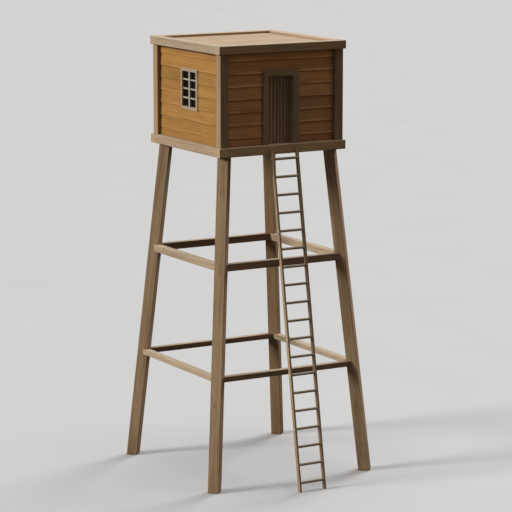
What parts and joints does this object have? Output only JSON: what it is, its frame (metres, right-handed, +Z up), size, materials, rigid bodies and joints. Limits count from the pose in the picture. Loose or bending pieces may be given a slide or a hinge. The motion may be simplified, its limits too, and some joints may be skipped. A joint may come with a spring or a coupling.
{
  "type": "watchtower",
  "caption": "Timber watchtower: a square boarded cabin with a hinged door and small-paned windows, on splayed legs tied by level rails, reached by a leaning ladder.",
  "frame": {"origin": "on the ground, in the middle of the whole footprint, ladder included", "axes": "+Z up, -Y towards the door and the ladder's foot, +X to the right as seen from the front"},
  "size_m": [3.9684, 4.7203, 9.126],
  "materials": {
    "leg_timber": "weathered sawn timber",
    "frame_timber": "weathered sawn timber",
    "wall_boards": "oiled lapped boards",
    "deck_boards": "bleached boards",
    "window_timber": "pale planed timber",
    "door_timber": "dark weathered timber",
    "ladder_timber": "worn timber",
    "glass": "clear window glass",
    "iron": "black wrought iron"
  },
  "bodies": {
    "tower": {"leg_front_left": "leg_timber", "corner_post_front_left": "frame_timber", "leg_front_right": "leg_timber", "corner_post_front_right": "frame_timber", "leg_back_left": "leg_timber", "corner_post_back_left": "frame_timber", "leg_back_right": "leg_timber", "corner_post_back_right": "frame_timber", "lower_rail_front": "leg_timber", "upper_rail_front": "leg_timber", "base_beam_front": "frame_timber", "roof_beam_front": "frame_timber", "lower_rail_back": "leg_timber", "upper_rail_back": "leg_timber", "base_beam_back": "frame_timber", "roof_beam_back": "frame_timber", "lower_rail_left": "leg_timber", "upper_rail_left": "leg_timber", "base_beam_left": "frame_timber", "roof_beam_left": "frame_timber", "lower_rail_right": "leg_timber", "upper_rail_right": "leg_timber", "base_beam_right": "frame_timber", "roof_beam_right": "frame_timber", "floor_deck": "deck_boards", "floor_joists": "frame_timber", "roof_deck": "deck_boards", "front_wall_left": "wall_boards", "front_wall_right": "wall_boards", "front_wall_over_door": "wall_boards", "left_wall": "wall_boards", "right_wall": "wall_boards", "back_wall": "wall_boards", "door_jamb_left": "door_timber", "door_jamb_right": "door_timber", "door_head": "door_timber", "door_pintles": "iron", "window_glass": "glass", "window_frame_left": "window_timber", "window_frame_right": "window_timber", "window_frame_back": "window_timber", "ladder_stile_left": "ladder_timber", "ladder_stile_right": "ladder_timber", "ladder_rungs": "ladder_timber"},
    "door": {"door_leaf": "door_timber", "door_straps": "iron"}
  },
  "joints": [
    {"name": "door_hinge", "type": "hinge", "parent": "tower", "child": "door", "pos_m": [0.318, -0.8201, 7.28], "axis": [0, 0, -1], "range_deg": [0, 100]}
  ]
}
